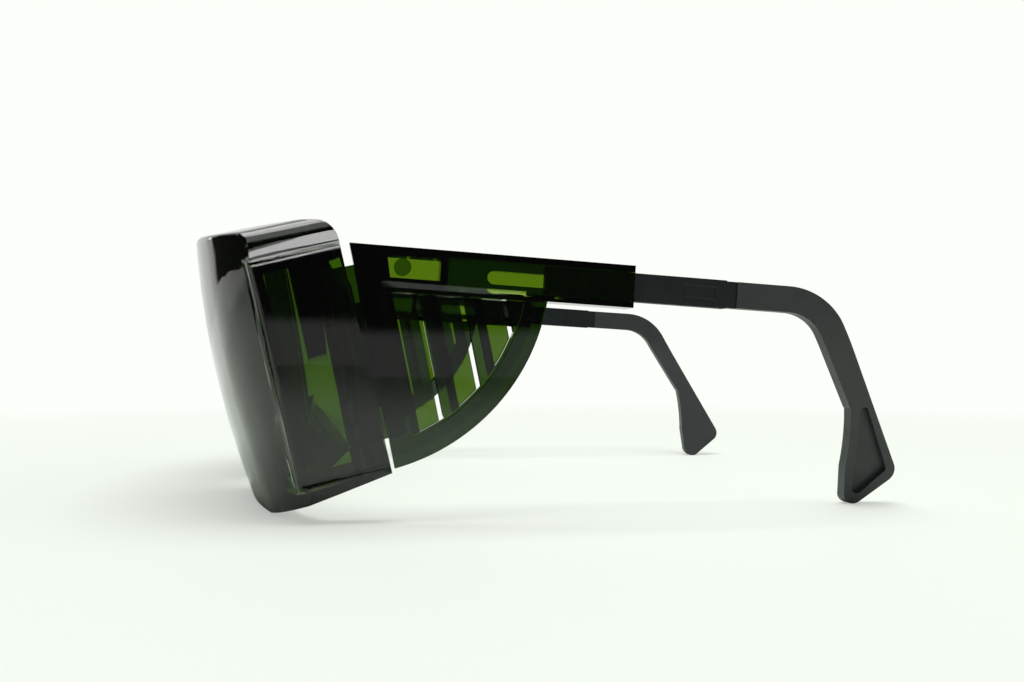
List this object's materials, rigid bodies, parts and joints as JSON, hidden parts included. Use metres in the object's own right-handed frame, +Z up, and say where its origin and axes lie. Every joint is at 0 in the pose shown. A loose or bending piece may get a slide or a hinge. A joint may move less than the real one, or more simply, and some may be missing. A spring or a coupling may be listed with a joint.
{
  "type": "welding spectacles",
  "caption": "Green welding spectacles: one-piece wrap front with brow and nose opening, louvred side shields that fold on pins, and temples that slide in and out with soft ear hooks.",
  "frame": {"origin": "on the standing surface, under the middle of the bounding box", "axes": "+X to the wearer's left, +Y back along the open temples, +Z up"},
  "size_m": [0.15, 0.1658, 0.0628],
  "materials": {
    "shade_front": "polished green-tinted polycarbonate, near black where it is thick",
    "shade_side": "polished green-tinted polycarbonate, bright yellow-green where one thin wall lies over daylight",
    "pin_steel": "drawn steel wire",
    "black_nylon": "matte, finely eroded mould texture",
    "soft_hook": "smooth, satin"
  },
  "bodies": {
    "front": {"front_shield": "shade_front", "hinge_pin_left": "pin_steel", "hinge_pin_right": "pin_steel"},
    "left_shield": {"side_shield_left": "shade_side"},
    "right_shield": {"side_shield_right": "shade_side"},
    "left_temple": {"temple_slider_left": "black_nylon", "ear_hook_left": "soft_hook"},
    "right_temple": {"temple_slider_right": "black_nylon", "ear_hook_right": "soft_hook"}
  },
  "joints": [
    {"name": "left_fold", "type": "hinge", "parent": "front", "child": "left_shield", "pos_m": [0.0702, -0.04457, 0.0335], "axis": [0, -0.2233, 0.9748], "range_deg": [0, 90]},
    {"name": "right_fold", "type": "hinge", "parent": "front", "child": "right_shield", "pos_m": [-0.0702, -0.04457, 0.0335], "axis": [0, 0.2233, -0.9748], "range_deg": [0, 78]},
    {"name": "left_length", "type": "slide", "parent": "left_shield", "child": "left_temple", "axis": [0.0251, -0.9977, 0.0629], "range_m": [0, 0.0205]},
    {"name": "right_length", "type": "slide", "parent": "right_shield", "child": "right_temple", "axis": [-0.0251, -0.9977, 0.0629], "range_m": [0, 0.0205]}
  ]
}
